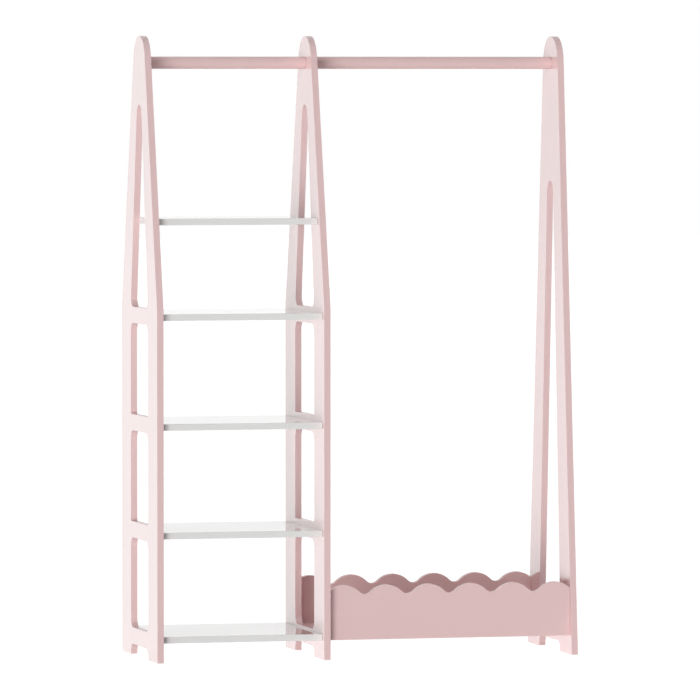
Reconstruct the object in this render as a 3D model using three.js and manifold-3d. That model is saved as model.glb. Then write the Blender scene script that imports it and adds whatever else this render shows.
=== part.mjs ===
// A child's open clothes rack. Two ladder panels and one A-frame panel stand side by side.
// Five shelves join the ladders, a rail crosses each bay, and a box with scalloped edges
// closes the wide bay at its foot. Hidden cam bolts, dowels and studs hold it together.
// Millimetres, +X right, -Y front, +Z up. The origin is on the floor under the middle.
import * as THREE from "three";
import { mergeVertices } from "three/addons/utils/BufferGeometryUtils.js";
import Module from "manifold-3d";

const wasm = await Module();
wasm.setup();

// Boards, bays and rails
const boardThickness = 15;
const shelfBay = 378;
const hangingBay = 577;
const panelDepth = 380;
const railDiameter = 28.5;
const railHeight = 1373.5;

// Outline of the side panels
const crownRadius = 62;
const shoulderHeight = 809;
const stileWidth = 97;
const frameSlotBase = 192;
const footWidth = 100;
const ladderSlotDrop = 96.5;
const frameSlotDrop = 275.5;
const slotTopRadius = 26;
const cornerRadius = 22;
const tightRadius = 4;
const archHeight = 24.5;
const archRadius = 18;
const crossbarHeight = 37.5;
const sillLip = 4;

// Shelves, from the lowest to the highest, by the height of their tops
const shelfHeights = [59, 298, 547, 798.4, 1016];

// How far the three crossbars stand above the shelves that they carry
const crossbarLips = [12, 12, 10];

// How far the shelves and the box stay back from the edges of the panels
const boardSetback = 15;

// Scalloped box
const boxHeight = 126;
const crestSpacing = 100.85;
const endCrestInset = 36.4;
const scallopDepth = 21.2;
const troughRadius = 18.8;

// Cam bolts and the cams that grip their heads
const boltThreadDiameter = 6;
const boltThreadLength = 10;
const boltStemDiameter = 5;
const boltHeadDiameter = 7;
const boltHeadLength = 3;
const camDiameter = 14.4;
const camHeight = 12;
const camSetback = 24;
const camSlotWidth = 1.6;
const camSlotLength = 9;
const camSlotDepth = 1.5;

// Wooden dowels and rail studs
const dowelDiameter = 8;
const dowelPanelDepth = 10;
const dowelBoardDepth = 20;
const studDiameter = 8;
const studPanelDepth = 10;
const studRailDepth = 25;

// Where the fittings sit
const shelfFittingInset = 35;
const boxBoltHeight = 60;

// Clearances, and how finely the round shapes are cut
const jointGap = 0.1;
const fittingGap = 0.3;
const arcTolerance = 0.1;
const boreSides = 10;
const camSides = 16;
const railSides = 40;

// Places that follow from the sizes
const halfDepth = panelDepth / 2;
const overallWidth = 3 * boardThickness + shelfBay + hangingBay;
const leftPanelX = -overallWidth / 2;
const middlePanelX = leftPanelX + boardThickness + shelfBay;
const rightPanelX = overallWidth / 2 - boardThickness;
const windowHalfWidth = halfDepth - stileWidth;
const ladderSlotTop = railHeight - ladderSlotDrop;
const frameSlotTop = railHeight - frameSlotDrop;
const lowestShelfTop = shelfHeights[0];
const sillTop = lowestShelfTop + sillLip;
const boxUnderside = lowestShelfTop - boardThickness;
const boardHalf = boardThickness / 2;

const pinkLacquer = new THREE.MeshStandardMaterial({ color: 0xe9cbcc, roughness: 0.35 });
const whiteLacquer = new THREE.MeshStandardMaterial({ color: 0xeeeeed, roughness: 0.3 });
const zinc = new THREE.MeshStandardMaterial({ color: 0xb8babd, roughness: 0.4, metalness: 1 });
const beech = new THREE.MeshStandardMaterial({ color: 0xd9b98c, roughness: 0.7 });

const rack = new THREE.Group();

// A closed geometry, set at a place in the rack, as a solid that can be cut.
function solidFrom(geometry, place = new THREE.Matrix4()) {
  const bare = geometry.clone().applyMatrix4(place);
  bare.deleteAttribute("normal");
  bare.deleteAttribute("uv");
  const merged = mergeVertices(bare, 1e-4);
  return new wasm.Manifold(
    new wasm.Mesh({
      numProp: 3,
      vertProperties: merged.attributes.position.array,
      triVerts: new Uint32Array(merged.index.array),
    }),
  );
}

// The surface of a solid, carried back from its place in the rack to the piece's own frame.
function geometryFrom(solid, place) {
  const { vertProperties, triVerts } = solid.getMesh();
  const geometry = new THREE.BufferGeometry();
  geometry.setAttribute("position", new THREE.BufferAttribute(vertProperties, 3));
  geometry.setIndex(new THREE.BufferAttribute(triVerts, 1));
  return geometry.applyMatrix4(place.clone().invert());
}

// One named piece: a blank in its own frame, set at its place and cut by the tools given.
function addPiece(name, material, blank, place, cutters = []) {
  let solid = solidFrom(blank, place);
  for (const cutter of cutters) solid = solid.subtract(cutter);
  const geometry = geometryFrom(solid, place).toNonIndexed();
  geometry.computeVertexNormals();
  const mesh = new THREE.Mesh(geometry, material);
  mesh.name = name;
  mesh.applyMatrix4(place);
  rack.add(mesh);
}

function moveTo(x, y, z) {
  return new THREE.Matrix4().makeTranslation(x, y, z);
}

// A cylinder about its own X axis, from one end to the other.
function rod(diameter, from, to, sides) {
  const geometry = new THREE.CylinderGeometry(diameter / 2, diameter / 2, to - from, sides);
  return geometry.rotateZ(-Math.PI / 2).translate((from + to) / 2, 0, 0);
}

// Points of an arc, close enough to the true curve. An even count puts one in the middle.
function arcPoints(x, y, radius, from, to) {
  const step = 2 * Math.acos(1 - Math.min(arcTolerance / radius, 1));
  const count = 2 * Math.max(1, Math.ceil(Math.abs(to - from) / step / 2));
  const points = [];
  for (let i = 0; i <= count; i++) {
    const angle = from + ((to - from) * i) / count;
    points.push(new THREE.Vector2(x + radius * Math.cos(angle), y + radius * Math.sin(angle)));
  }
  return points;
}

// A closed outline whose corners, [x, y, radius], are rounded by arcs.
function roundedOutline(corners) {
  const points = [];
  corners.forEach(([x, y, radius], i) => {
    const corner = new THREE.Vector2(x, y);
    if (!radius) {
      points.push(corner);
      return;
    }
    const before = corners.at(i - 1);
    const after = corners[(i + 1) % corners.length];
    const toBefore = new THREE.Vector2(before[0] - x, before[1] - y).normalize();
    const toAfter = new THREE.Vector2(after[0] - x, after[1] - y).normalize();
    const half = Math.acos(toBefore.dot(toAfter)) / 2;
    const inward = toBefore.clone().add(toAfter).normalize();
    const centre = corner.clone().addScaledVector(inward, radius / Math.sin(half));
    const start = corner.clone().addScaledVector(toBefore, radius / Math.tan(half)).sub(centre);
    const turn = Math.sign(toBefore.cross(toAfter)) * (Math.PI - 2 * half);
    points.push(...arcPoints(centre.x, centre.y, radius, start.angle(), start.angle() - turn));
  });
  return points;
}

// Height where two lines from (+-base, foot), tangent to a circle on the middle, meet above it.
function apexHeight(base, foot, centreHeight, radius) {
  const rise = centreHeight - foot;
  const reach = Math.hypot(base, rise);
  const lean = Math.atan2(base, rise) - Math.asin(radius / reach);
  return foot + base / Math.tan(lean);
}

// A board cut to an outline in Y and Z, with its thickness along X from 0.
function panelBlank(outline, openings) {
  const shape = new THREE.Shape(outline);
  shape.holes = openings.map((points) => new THREE.Path(points));
  const geometry = new THREE.ExtrudeGeometry(shape, { depth: boardThickness, bevelEnabled: false });
  const upright = new THREE.Matrix4().makeBasis(
    new THREE.Vector3(0, 1, 0),
    new THREE.Vector3(0, 0, 1),
    new THREE.Vector3(1, 0, 0),
  );
  return geometry.applyMatrix4(upright);
}

// The low arch that leaves two feet under a panel, as corners from the front foot to the back.
function archCorners(halfWidth) {
  return [
    [-halfWidth, 0, 0],
    [-halfWidth, archHeight, archRadius],
    [halfWidth, archHeight, archRadius],
    [halfWidth, 0, 0],
  ];
}

// A slot that narrows upwards to a round top.
function taperedSlot(halfWidth, bottom, top) {
  const apex = apexHeight(halfWidth, bottom, top - slotTopRadius, slotTopRadius);
  return roundedOutline([
    [-halfWidth, bottom, cornerRadius],
    [halfWidth, bottom, cornerRadius],
    [0, apex, slotTopRadius],
  ]);
}

// Half the depth of a ladder panel at a height: upright to the shoulder, then tapering.
const ladderApex = apexHeight(halfDepth, shoulderHeight, railHeight, crownRadius);
function ladderHalfDepth(height) {
  if (height <= shoulderHeight) return halfDepth;
  return (halfDepth * (ladderApex - height)) / (ladderApex - shoulderHeight);
}

// Windows stand between the sill and the crossbars, and a slot above. Windows that stand on
// a crossbar have tighter corners at the bottom.
function ladderBlank() {
  const outline = roundedOutline([
    [-halfDepth, 0, 0],
    ...archCorners(windowHalfWidth),
    [halfDepth, 0, 0],
    [halfDepth, shoulderHeight, 0],
    [0, ladderApex, crownRadius],
    [-halfDepth, shoulderHeight, 0],
  ]);
  const openings = [];
  let bottom = sillTop;
  let bottomRadius = cornerRadius;
  crossbarLips.forEach((lip, i) => {
    const crossbarTop = shelfHeights[i + 1] + lip;
    const top = crossbarTop - crossbarHeight;
    openings.push(
      roundedOutline([
        [-windowHalfWidth, bottom, bottomRadius],
        [windowHalfWidth, bottom, bottomRadius],
        [windowHalfWidth, top, cornerRadius],
        [-windowHalfWidth, top, cornerRadius],
      ]),
    );
    bottom = crossbarTop;
    bottomRadius = tightRadius;
  });
  openings.push(taperedSlot(windowHalfWidth, bottom, ladderSlotTop));
  return panelBlank(outline, openings);
}

// The A-frame's slot narrows all the way up, as if its sides began on the floor.
function frameBlank() {
  const outline = roundedOutline([
    [-halfDepth, 0, 0],
    ...archCorners(halfDepth - footWidth),
    [halfDepth, 0, 0],
    [0, apexHeight(halfDepth, 0, railHeight, crownRadius), crownRadius],
  ]);
  const slotApex = apexHeight(frameSlotBase / 2, 0, frameSlotTop - slotTopRadius, slotTopRadius);
  const sillHalf = (frameSlotBase / 2) * (1 - sillTop / slotApex);
  return panelBlank(outline, [taperedSlot(sillHalf, sillTop, frameSlotTop)]);
}

// Top edge of a box board: round crests joined by tighter troughs, along X from 0.
function scallopedBlank(length) {
  const count = Math.max(2, Math.round(hangingBay / crestSpacing));
  const pitch = (hangingBay - 2 * endCrestInset) / (count - 1);
  const reach = (pitch * pitch) / 4 / scallopDepth / 2 + scallopDepth / 2;
  const crestRadius = reach - troughRadius;
  const crestY = boxHeight - crestRadius;
  const troughY = boxHeight - scallopDepth + troughRadius;
  const swing = Math.asin(pitch / 2 / reach);
  const endSwing = Math.asin(Math.min(1, (endCrestInset - jointGap) / crestRadius));
  const points = [new THREE.Vector2(0, 0), new THREE.Vector2(length, 0)];
  for (let i = count - 1; i >= 0; i--) {
    const x = endCrestInset - jointGap + i * pitch;
    const from = Math.PI / 2 - (i === count - 1 ? endSwing : swing);
    const to = Math.PI / 2 + (i === 0 ? endSwing : swing);
    points.push(...arcPoints(x, crestY, crestRadius, from, to));
    if (i > 0) {
      const below = 1.5 * Math.PI;
      const trough = arcPoints(x - pitch / 2, troughY, troughRadius, below + swing, below - swing);
      points.push(...trough.slice(1, -1));
    }
  }
  const shape = new THREE.Shape(points);
  const geometry = new THREE.ExtrudeGeometry(shape, { depth: boardThickness, bevelEnabled: false });
  return geometry.rotateX(Math.PI / 2).translate(0, boardHalf, 0);
}

// Cutters that the fittings leave in each panel and board, by the name of the piece.
const cutters = {};
function cut(name, geometry, place) {
  cutters[name] = cutters[name] ?? [];
  cutters[name].push(solidFrom(geometry, place));
}

const fittings = [];

// A bolt screwed into a panel; its head is gripped by a cam set in the board's face.
// Own frame: origin on the joint, +X into the board, -Z towards the face with the cam.
function camJoint(name, panel, board, place) {
  const headEnd = camSetback + boltHeadLength / 2;
  const headStart = camSetback - boltHeadLength / 2;
  const profile = [
    [0, -boltThreadLength],
    [boltThreadDiameter / 2, -boltThreadLength],
    [boltThreadDiameter / 2, 0],
    [boltStemDiameter / 2, 0],
    [boltStemDiameter / 2, headStart],
    [boltHeadDiameter / 2, headStart],
    [boltHeadDiameter / 2, headEnd],
    [0, headEnd],
  ].map(([radius, along]) => new THREE.Vector2(radius, along));
  const bolt = new THREE.LatheGeometry(profile, boreSides).rotateZ(-Math.PI / 2);
  const headBore = rod(boltHeadDiameter + 2 * fittingGap, -fittingGap, headEnd + fittingGap, boreSides);
  const threadBore = rod(
    boltThreadDiameter + 2 * fittingGap,
    -boltThreadLength - fittingGap,
    jointGap,
    boreSides,
  );
  const camMiddle = -boardHalf + camHeight / 2;
  const disc = (diameter, height) =>
    new THREE.CylinderGeometry(diameter / 2, diameter / 2, height, camSides)
      .rotateX(Math.PI / 2)
      .translate(camSetback, 0, -boardHalf + height / 2);
  const pocket = disc(camDiameter + 2 * fittingGap, camHeight + fittingGap);
  const slot = new THREE.BoxGeometry(camSlotLength, camSlotWidth, 2 * camSlotDepth);
  slot.translate(camSetback, 0, camMiddle - camHeight / 2);
  cut(panel, threadBore, place);
  cut(board, headBore, place);
  cut(board, pocket, place);
  fittings.push([name + "_bolt", zinc, bolt, place, []]);
  fittings.push([
    name + "_cam",
    zinc,
    disc(camDiameter, camHeight),
    place,
    [solidFrom(headBore, place), solidFrom(slot, place)],
  ]);
}

// A wooden dowel, part in a panel and part in a board. Own frame as above.
function dowelJoint(name, panel, board, place) {
  const dowel = rod(dowelDiameter, -dowelPanelDepth, dowelBoardDepth, boreSides);
  const bore = rod(
    dowelDiameter + 2 * fittingGap,
    -dowelPanelDepth - fittingGap,
    dowelBoardDepth + fittingGap,
    boreSides,
  );
  cut(panel, bore, place);
  cut(board, bore, place);
  fittings.push([name + "_dowel", beech, dowel, place, []]);
}

// A steel stud at the rail's height, between the X places of its two ends.
function railStud(name, from, to, held) {
  const place = moveTo(0, 0, railHeight);
  const bore = rod(studDiameter + 2 * fittingGap, from - fittingGap, to + fittingGap, boreSides);
  for (const piece of held) cut(piece, bore, place);
  fittings.push([name, zinc, rod(studDiameter, from, to, boreSides), place, []]);
}

// The joint's place at a board's left end, or turned about Z for its right end.
function endPlace(atRight, leftX, length, y, z, roll = 0) {
  const place = moveTo(atRight ? leftX + length : leftX, y, z);
  place.multiply(new THREE.Matrix4().makeRotationX(roll));
  if (atRight) place.multiply(new THREE.Matrix4().makeRotationZ(Math.PI));
  return place;
}

const shelfLeftX = leftPanelX + boardThickness;
const boxLeftX = middlePanelX + boardThickness;

function addShelf(number, top) {
  const name = "shelf_" + number;
  const shelfHalf = ladderHalfDepth(top) - boardSetback;
  const fittingY = shelfHalf - shelfFittingInset;
  const middleZ = top - boardHalf;
  for (const [side, panel] of [["left", "left_panel"], ["right", "middle_panel"]]) {
    const atRight = side === "right";
    const front = endPlace(atRight, shelfLeftX, shelfBay, -fittingY, middleZ);
    const back = endPlace(atRight, shelfLeftX, shelfBay, fittingY, middleZ);
    camJoint(name + "_" + side, panel, name, front);
    dowelJoint(name + "_" + side, panel, name, back);
  }
  const board = new THREE.BoxGeometry(shelfBay - 2 * jointGap, 2 * shelfHalf, boardThickness);
  addPiece(name, whiteLacquer, board, moveTo(shelfLeftX + shelfBay / 2, 0, middleZ), cutters[name]);
}

const boxBoardY = halfDepth - boardSetback - boardHalf;
const boxEnds = [["left", "middle_panel"], ["right", "right_panel"]];

// Both box boards have their cams in the face that looks to the back.
function addBoxBoard(name, y) {
  for (const [side, panel] of boxEnds) {
    const height = boxUnderside + boxBoltHeight;
    const place = endPlace(side === "right", boxLeftX, hangingBay, y, height, Math.PI / 2);
    camJoint(name + "_" + side, panel, name, place);
  }
  const place = moveTo(boxLeftX + jointGap, y, boxUnderside);
  addPiece(name, pinkLacquer, scallopedBlank(hangingBay - 2 * jointGap), place, cutters[name]);
}

function addBoxFloor() {
  const name = "box_floor";
  const floorHalf = boxBoardY - boardHalf - jointGap;
  const fittingY = floorHalf - shelfFittingInset;
  const middleZ = boxUnderside + boardHalf;
  for (const [side, panel] of boxEnds) {
    for (const [end, y] of [["front", -fittingY], ["back", fittingY]]) {
      const place = endPlace(side === "right", boxLeftX, hangingBay, y, middleZ);
      dowelJoint(name + "_" + side + "_" + end, panel, name, place);
    }
  }
  const board = new THREE.BoxGeometry(hangingBay - 2 * jointGap, 2 * floorHalf, boardThickness);
  addPiece(name, pinkLacquer, board, moveTo(boxLeftX + hangingBay / 2, 0, middleZ), cutters[name]);
}

function addRail(name, leftX, length) {
  const blank = rod(railDiameter, jointGap, length - jointGap, railSides);
  addPiece(name, pinkLacquer, blank, moveTo(leftX, 0, railHeight), cutters[name]);
}

railStud("left_rail_stud", shelfLeftX - studPanelDepth, shelfLeftX + studRailDepth, [
  "left_panel",
  "short_rail",
]);
railStud("middle_rail_stud", middlePanelX - studRailDepth, boxLeftX + studRailDepth, [
  "short_rail",
  "middle_panel",
  "long_rail",
]);
railStud("right_rail_stud", rightPanelX - studRailDepth, rightPanelX + studPanelDepth, [
  "long_rail",
  "right_panel",
]);
addRail("short_rail", shelfLeftX, shelfBay);
addRail("long_rail", boxLeftX, hangingBay);
shelfHeights.forEach((top, i) => addShelf(i + 1, top));
addBoxBoard("box_front", -boxBoardY);
addBoxBoard("box_back", boxBoardY);
addBoxFloor();
addPiece("left_panel", pinkLacquer, ladderBlank(), moveTo(leftPanelX, 0, 0), cutters.left_panel);
addPiece("middle_panel", pinkLacquer, ladderBlank(), moveTo(middlePanelX, 0, 0), cutters.middle_panel);
addPiece("right_panel", pinkLacquer, frameBlank(), moveTo(rightPanelX, 0, 0), cutters.right_panel);
for (const fitting of fittings) addPiece(...fitting);

export default rack;
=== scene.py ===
"""A child's open clothes rack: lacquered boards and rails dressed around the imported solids.

Metres, +X right, -Y front, +Z up, with the origin on the floor under the middle of the rack.
"""

import math

import bmesh
import bpy
from mathutils import Euler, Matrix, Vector


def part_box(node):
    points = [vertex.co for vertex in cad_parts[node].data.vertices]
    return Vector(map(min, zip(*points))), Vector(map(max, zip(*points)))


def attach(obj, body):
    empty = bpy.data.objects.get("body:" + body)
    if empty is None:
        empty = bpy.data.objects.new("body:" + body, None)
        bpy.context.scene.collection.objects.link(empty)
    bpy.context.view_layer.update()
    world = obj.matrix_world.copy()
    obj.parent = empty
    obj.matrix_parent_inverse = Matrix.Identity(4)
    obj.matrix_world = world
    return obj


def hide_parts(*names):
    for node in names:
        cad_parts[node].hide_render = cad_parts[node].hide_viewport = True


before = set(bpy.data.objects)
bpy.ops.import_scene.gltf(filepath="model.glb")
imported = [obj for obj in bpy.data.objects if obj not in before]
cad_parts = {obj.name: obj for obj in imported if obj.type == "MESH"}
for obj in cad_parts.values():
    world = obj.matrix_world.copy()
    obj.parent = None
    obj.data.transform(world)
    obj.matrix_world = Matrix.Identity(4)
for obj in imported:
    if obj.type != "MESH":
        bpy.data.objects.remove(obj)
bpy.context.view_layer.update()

# Pieces by their kind
PANELS = ("left_panel", "middle_panel", "right_panel")
SHELVES = ("shelf_1", "shelf_2", "shelf_3", "shelf_4", "shelf_5")
BOX_BOARDS = ("box_front", "box_back", "box_floor")
RAILS = ("short_rail", "long_rail")
METAL_ENDINGS = ("_bolt", "_cam", "_stud")
DOWEL_ENDING = "_dowel"
FITTING_ENDINGS = (*METAL_ENDINGS, DOWEL_ENDING)

# Axis that a board is thin along, and the least part of a broad face's normal along it
PANEL_AXIS = 0
SHELF_AXIS = 2
BROAD_FACE = 0.99

# Eased edges
BOARD_EASING = 0.0012
RAIL_EASING = 0.0008
EASING_SEGMENTS = 3
ROUND_PROFILE = 0.5
FLAT_ANGLE = math.radians(0.5)
SHARP_ANGLE = math.radians(35)
MERGE_DISTANCE = 1e-6
RIM_MARGIN = 0.001
FLAT_FACE_WEIGHT = 100

# Colours, linear
PINK = (0.822, 0.592, 0.59)
PINK_DEEP = (0.812, 0.58, 0.578)
WHITE = (0.838, 0.838, 0.826)
WHITE_DEEP = (0.828, 0.828, 0.812)
ZINC = (0.62, 0.63, 0.64)
ZINC_DARK = (0.42, 0.43, 0.44)
BEECH = (0.62, 0.41, 0.22)
BEECH_DARK = (0.45, 0.27, 0.13)

# Gloss. Each sheen is the lowest and the highest roughness.
LACQUER_IOR = 1.5
COAT_ROUGHNESS = 0.12
PANEL_COAT = 1.0
SHELF_COAT = 0.6
NO_COAT = 0.0
PANEL_SHEEN = (0.12, 0.16)
SHELF_SHEEN = (0.06, 0.08)
PLAIN_SHEEN = (0.2, 0.26)
RAIL_SHEEN = (0.38, 0.44)
ZINC_SHEEN = (0.28, 0.45)
BEECH_SHEEN = (0.55, 0.7)

# Noises, by scale and detail, and the range that most of a noise's values lie in
TINT_NOISE = (4.0, 3.0)
SHEEN_NOISE = (30.0, 4.0)
PEEL_NOISE = (420.0, 2.0)
ZINC_NOISE = (900.0, 3.0)
BEECH_NOISE = (1.0, 4.0)
BEECH_STRETCH = (40.0, 600.0, 600.0)
NOISE_RANGE = (0.3, 0.7)

# Fine relief, by strength and height
PEEL_RELIEF = (0.1, 0.00001)
ZINC_RELIEF = (0.2, 0.00005)
BEECH_RELIEF = (0.3, 0.0001)

# Camera
CAMERA_PLACE = Vector((-3.9128, -15.5894, 1.3441))
CAMERA_YAW = math.radians(14.0954)
CAMERA_PITCH = math.radians(2.2745)
CAMERA_LENS = 355.44
CAMERA_REACH = 200.0
SENSOR_WIDTH = 36.0

# Studio. Each lamp: name, azimuth and elevation in degrees, angular width, strength.
# Azimuth is counted from the front, to the viewer's right.
LAMPS = (
    ("key", -36, 12, 44, 0.97),
    ("key low", -43, -12, 30, 1.32),
    ("left", -92, 4, 16, 0.12),
    ("left low", -105, -14, 30, 0.24),
    ("foot", -75, -35, 40, 0.50),
    ("top", 0, 88, 44, 0.72),
    ("right", 110, 25, 60, 0.55),
    ("back right", 135, 25, 50, 0.55),
    ("back right low", 145, -25, 40, 0.40),
    ("back left low", -140, -25, 40, 0.25),
)
SKY = 0.04
FLOOR_HALF = 40.0
FLOOR_DROP = 0.0002
FLOOR_BOUNCE = 0.75
FLOOR_SHADOW = 0.25
FLOOR_GLOW = 0.95


def noise(nodes, links, vector, scale, detail, name):
    """A noise texture over the coordinates given."""
    texture = nodes.new("ShaderNodeTexNoise")
    texture.name = name
    texture.inputs["Scale"].default_value = scale
    texture.inputs["Detail"].default_value = detail
    links.new(vector, texture.inputs["Vector"])
    return texture.outputs["Fac"]


def spread(nodes, links, value, low, high):
    """A noise value carried to the range low to high."""
    ranged = nodes.new("ShaderNodeMapRange")
    ranged.inputs["From Min"].default_value = NOISE_RANGE[0]
    ranged.inputs["From Max"].default_value = NOISE_RANGE[1]
    ranged.inputs["To Min"].default_value = low
    ranged.inputs["To Max"].default_value = high
    links.new(value, ranged.inputs["Value"])
    return ranged.outputs["Result"]


def add_colour(nodes, links, shader, value, first, second):
    """One colour turning into another as a noise value rises."""
    mix = nodes.new("ShaderNodeMix")
    mix.data_type = "RGBA"
    mix.inputs["A"].default_value = (*first, 1)
    mix.inputs["B"].default_value = (*second, 1)
    links.new(spread(nodes, links, value, 0.0, 1.0), mix.inputs["Factor"])
    links.new(mix.outputs["Result"], shader.inputs["Base Color"])


def add_sheen(nodes, links, shader, value, sheen):
    """A roughness that follows a noise value."""
    links.new(spread(nodes, links, value, *sheen), shader.inputs["Roughness"])


def start_material(name):
    """A new node material: its nodes, links and surface shader."""
    material = bpy.data.materials.new(name)
    material.use_nodes = True
    nodes = material.node_tree.nodes
    links = material.node_tree.links
    return material, nodes, links, nodes["Principled BSDF"]


def own_place(nodes):
    """The piece's own coordinates."""
    return nodes.new("ShaderNodeTexCoord").outputs["Object"]


def add_bump(nodes, links, shader, height, strength, distance):
    """A fine relief that follows a noise value."""
    bump = nodes.new("ShaderNodeBump")
    bump.inputs["Strength"].default_value = strength
    bump.inputs["Distance"].default_value = distance
    links.new(height, bump.inputs["Height"])
    links.new(bump.outputs["Normal"], shader.inputs["Normal"])


def lacquer(name, colour, deep_colour, sheen, coat):
    """Sprayed lacquer: a close-set tint, a faint orange peel and an uneven sheen."""
    material, nodes, links, shader = start_material(name)
    place = own_place(nodes)
    clouds = noise(nodes, links, place, *TINT_NOISE, "clouds")
    add_colour(nodes, links, shader, clouds, colour, deep_colour)
    smears = noise(nodes, links, place, *SHEEN_NOISE, "sheen")
    add_sheen(nodes, links, shader, smears, sheen)
    peel = noise(nodes, links, place, *PEEL_NOISE, "orange peel")
    add_bump(nodes, links, shader, peel, *PEEL_RELIEF)
    shader.inputs["IOR"].default_value = LACQUER_IOR
    shader.inputs["Coat Weight"].default_value = coat
    shader.inputs["Coat Roughness"].default_value = COAT_ROUGHNESS
    return material


def zinc(name):
    """Plated metal with a fine grain."""
    material, nodes, links, shader = start_material(name)
    grain = noise(nodes, links, own_place(nodes), *ZINC_NOISE, "grain")
    add_colour(nodes, links, shader, grain, ZINC, ZINC_DARK)
    add_sheen(nodes, links, shader, grain, ZINC_SHEEN)
    add_bump(nodes, links, shader, grain, *ZINC_RELIEF)
    shader.inputs["Metallic"].default_value = 1.0
    return material


def beech(name):
    """Plain beech, its grain along the dowel."""
    material, nodes, links, shader = start_material(name)
    stretch = nodes.new("ShaderNodeMapping")
    stretch.inputs["Scale"].default_value = BEECH_STRETCH
    links.new(own_place(nodes), stretch.inputs["Vector"])
    grain = noise(nodes, links, stretch.outputs["Vector"], *BEECH_NOISE, "grain")
    add_colour(nodes, links, shader, grain, BEECH, BEECH_DARK)
    add_sheen(nodes, links, shader, grain, BEECH_SHEEN)
    add_bump(nodes, links, shader, grain, *BEECH_RELIEF)
    return material


def fitting_boxes():
    """The boxes of the hidden fittings, a little larger than they are."""
    margin = Vector((RIM_MARGIN,) * 3)
    boxes = []
    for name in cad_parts:
        if name.endswith(FITTING_ENDINGS):
            low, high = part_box(name)
            boxes.append((low - margin, high + margin))
    return boxes


def inside(point, boxes):
    """Whether a point lies in any of the boxes."""
    return any(all(low[i] <= point[i] <= high[i] for i in range(3)) for low, high in boxes)


def tidy_copy(node):
    """The node's surface as one bmesh, its flat faces joined up."""
    surface = bmesh.new()
    surface.from_mesh(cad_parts[node].data)
    bmesh.ops.remove_doubles(surface, verts=surface.verts, dist=MERGE_DISTANCE)
    bmesh.ops.dissolve_limit(
        surface, angle_limit=FLAT_ANGLE, verts=surface.verts, edges=surface.edges
    )
    return surface


def ease_edges(surface, radius, left_alone):
    """Rounds the sharp outer edges over, and leaves the rims of bores and pockets alone."""
    sharp = []
    for edge in surface.edges:
        middle = (edge.verts[0].co + edge.verts[1].co) / 2
        if edge.calc_face_angle(0) > SHARP_ANGLE and not inside(middle, left_alone):
            sharp.append(edge)
    bmesh.ops.bevel(
        surface,
        geom=sharp,
        offset=radius,
        offset_type="OFFSET",
        segments=EASING_SEGMENTS,
        profile=ROUND_PROFILE,
        affect="EDGES",
        clamp_overlap=True,
        loop_slide=False,
    )


def shade(piece, surface):
    """Puts the surface into the piece, smooth but for its sharp edges. Flat faces stay flat."""
    for face in surface.faces:
        face.smooth = True
    for edge in surface.edges:
        edge.smooth = edge.calc_face_angle(0) < SHARP_ANGLE
    surface.to_mesh(piece.data)
    surface.free()
    weighting = piece.modifiers.new("flat faces", "WEIGHTED_NORMAL")
    weighting.keep_sharp = True
    weighting.weight = FLAT_FACE_WEIGHT


def dress(node, radius, materials, thickness_axis, left_alone):
    """An eased piece in place of a packed one. The second material is for the board's edges."""
    surface = tidy_copy(node)
    ease_edges(surface, radius, left_alone)
    piece = bpy.data.objects.new(node + "_eased", bpy.data.meshes.new(node + "_eased"))
    bpy.context.scene.collection.objects.link(piece)
    for material in materials:
        piece.data.materials.append(material)
    if thickness_axis is not None:
        for face in surface.faces:
            face.material_index = 0 if abs(face.normal[thickness_axis]) > BROAD_FACE else 1
    shade(piece, surface)
    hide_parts(node)
    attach(piece, "root")


def dress_rack():
    """Every board and rail. Panels and shelves are glossier on their broad faces."""
    pink_face = lacquer("pink_lacquer", PINK, PINK_DEEP, PANEL_SHEEN, PANEL_COAT)
    pink_plain = lacquer("pink_lacquer_plain", PINK, PINK_DEEP, PLAIN_SHEEN, NO_COAT)
    pink_round = lacquer("pink_lacquer_rail", PINK, PINK_DEEP, RAIL_SHEEN, NO_COAT)
    white_face = lacquer("white_lacquer", WHITE, WHITE_DEEP, SHELF_SHEEN, SHELF_COAT)
    white_edge = lacquer("white_lacquer_edge", WHITE, WHITE_DEEP, PLAIN_SHEEN, NO_COAT)
    rims = fitting_boxes()
    for node in PANELS:
        dress(node, BOARD_EASING, (pink_face, pink_plain), PANEL_AXIS, rims)
    for node in SHELVES:
        dress(node, BOARD_EASING, (white_face, white_edge), SHELF_AXIS, rims)
    for node in BOX_BOARDS:
        dress(node, BOARD_EASING, (pink_plain,), None, rims)
    for node in RAILS:
        dress(node, RAIL_EASING, (pink_round,), None, rims)


def finish_fittings():
    """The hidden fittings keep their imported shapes, in zinc or beech."""
    zinc_metal = zinc("zinc")
    beech_wood = beech("beech")
    for name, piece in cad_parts.items():
        if name.endswith(METAL_ENDINGS):
            piece.data.materials.clear()
            piece.data.materials.append(zinc_metal)
        elif name.endswith(DOWEL_ENDING):
            piece.data.materials.clear()
            piece.data.materials.append(beech_wood)


def add_lamp(name, azimuth, elevation, width, strength):
    """A wide, soft lamp so far off that its light comes from one side alike everywhere.

    The lacquer mirrors the white room and not the lamps. The floor stops stray rays on their way
    to a lamp that reaches below the horizon, so such a lamp is only looked for directly.
    """
    data = bpy.data.lights.new(name, "SUN")
    data.angle = math.radians(width)
    data.energy = strength
    data.cycles.use_multiple_importance_sampling = elevation > width / 2
    lamp = bpy.data.objects.new(name, data)
    lamp.visible_glossy = False
    turn = math.radians(azimuth)
    rise = math.radians(elevation)
    shine = Vector((-math.sin(turn), math.cos(turn), -math.tan(rise)))
    lamp.rotation_euler = shine.to_track_quat("-Z", "Y").to_euler()
    bpy.context.scene.collection.objects.link(lamp)


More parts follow.
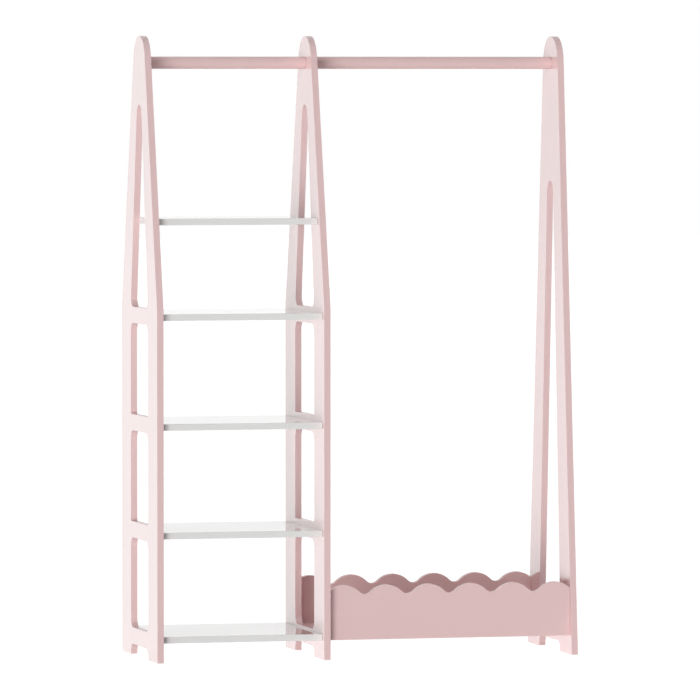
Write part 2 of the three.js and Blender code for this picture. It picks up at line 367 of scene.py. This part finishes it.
def add_camera():
    """The photograph's view, from a little to the left of the front."""
    data = bpy.data.cameras.new("camera")
    data.sensor_width = SENSOR_WIDTH
    data.lens = CAMERA_LENS
    data.clip_end = CAMERA_REACH
    camera = bpy.data.objects.new("camera", data)
    camera.location = CAMERA_PLACE
    camera.rotation_euler = Euler((math.pi / 2 - CAMERA_PITCH, 0, -CAMERA_YAW))
    bpy.context.scene.collection.objects.link(camera)
    bpy.context.scene.camera = camera


def seen_directly(nodes, links):
    """1 for camera, glossy and transmission rays, and 0 for the rest."""
    path = nodes.new("ShaderNodeLightPath")
    seen = path.outputs["Is Camera Ray"]
    for kind in ("Is Glossy Ray", "Is Transmission Ray"):
        either = nodes.new("ShaderNodeMath")
        either.operation = "MAXIMUM"
        links.new(seen, either.inputs[0])
        links.new(path.outputs[kind], either.inputs[1])
        seen = either.outputs[0]
    return seen


def grey(tone):
    """An opaque grey."""
    return (tone, tone, tone, 1)


def add_world():
    """White where it is seen, and a faint even sky where it only lights."""
    world = bpy.data.worlds.new("studio")
    world.use_nodes = True
    bpy.context.scene.world = world
    nodes = world.node_tree.nodes
    links = world.node_tree.links
    seen = nodes["Background"]
    seen.inputs["Color"].default_value = grey(1)
    seen.inputs["Strength"].default_value = 1.0
    sky = nodes.new("ShaderNodeBackground")
    sky.inputs["Color"].default_value = grey(1)
    sky.inputs["Strength"].default_value = SKY
    mix = nodes.new("ShaderNodeMixShader")
    links.new(seen_directly(nodes, links), mix.inputs["Fac"])
    links.new(sky.outputs["Background"], mix.inputs[1])
    links.new(seen.outputs["Background"], mix.inputs[2])
    links.new(mix.outputs["Shader"], nodes["World Output"].inputs["Surface"])


def floor_paint():
    """White where it is seen, but for the rack's soft shadow, and pale where it only lights."""
    material, nodes, links, shader = start_material("floor")
    nodes.remove(shader)
    bounce = nodes.new("ShaderNodeBsdfDiffuse")
    bounce.inputs["Color"].default_value = grey(FLOOR_BOUNCE)
    shadow = nodes.new("ShaderNodeBsdfDiffuse")
    shadow.inputs["Color"].default_value = grey(FLOOR_SHADOW)
    glow = nodes.new("ShaderNodeEmission")
    glow.inputs["Strength"].default_value = FLOOR_GLOW
    shown = nodes.new("ShaderNodeAddShader")
    links.new(shadow.outputs["BSDF"], shown.inputs[0])
    links.new(glow.outputs["Emission"], shown.inputs[1])
    mix = nodes.new("ShaderNodeMixShader")
    links.new(seen_directly(nodes, links), mix.inputs["Fac"])
    links.new(bounce.outputs["BSDF"], mix.inputs[1])
    links.new(shown.outputs["Shader"], mix.inputs[2])
    links.new(mix.outputs["Shader"], nodes["Material Output"].inputs["Surface"])
    return material


def add_floor():
    """A wide floor. It casts no shadow, so the low lamps light the rack from below the horizon."""
    surface = bmesh.new()
    bmesh.ops.create_grid(surface, x_segments=1, y_segments=1, size=FLOOR_HALF)
    mesh = bpy.data.meshes.new("floor")
    surface.to_mesh(mesh)
    surface.free()
    mesh.materials.append(floor_paint())
    floor = bpy.data.objects.new("floor", mesh)
    floor.location.z = -FLOOR_DROP
    floor.visible_shadow = False
    bpy.context.scene.collection.objects.link(floor)


dress_rack()
finish_fittings()
add_camera()
add_world()
add_floor()
for lamp in LAMPS:
    add_lamp(*lamp)

bpy.context.scene.view_settings.view_transform = "Standard"
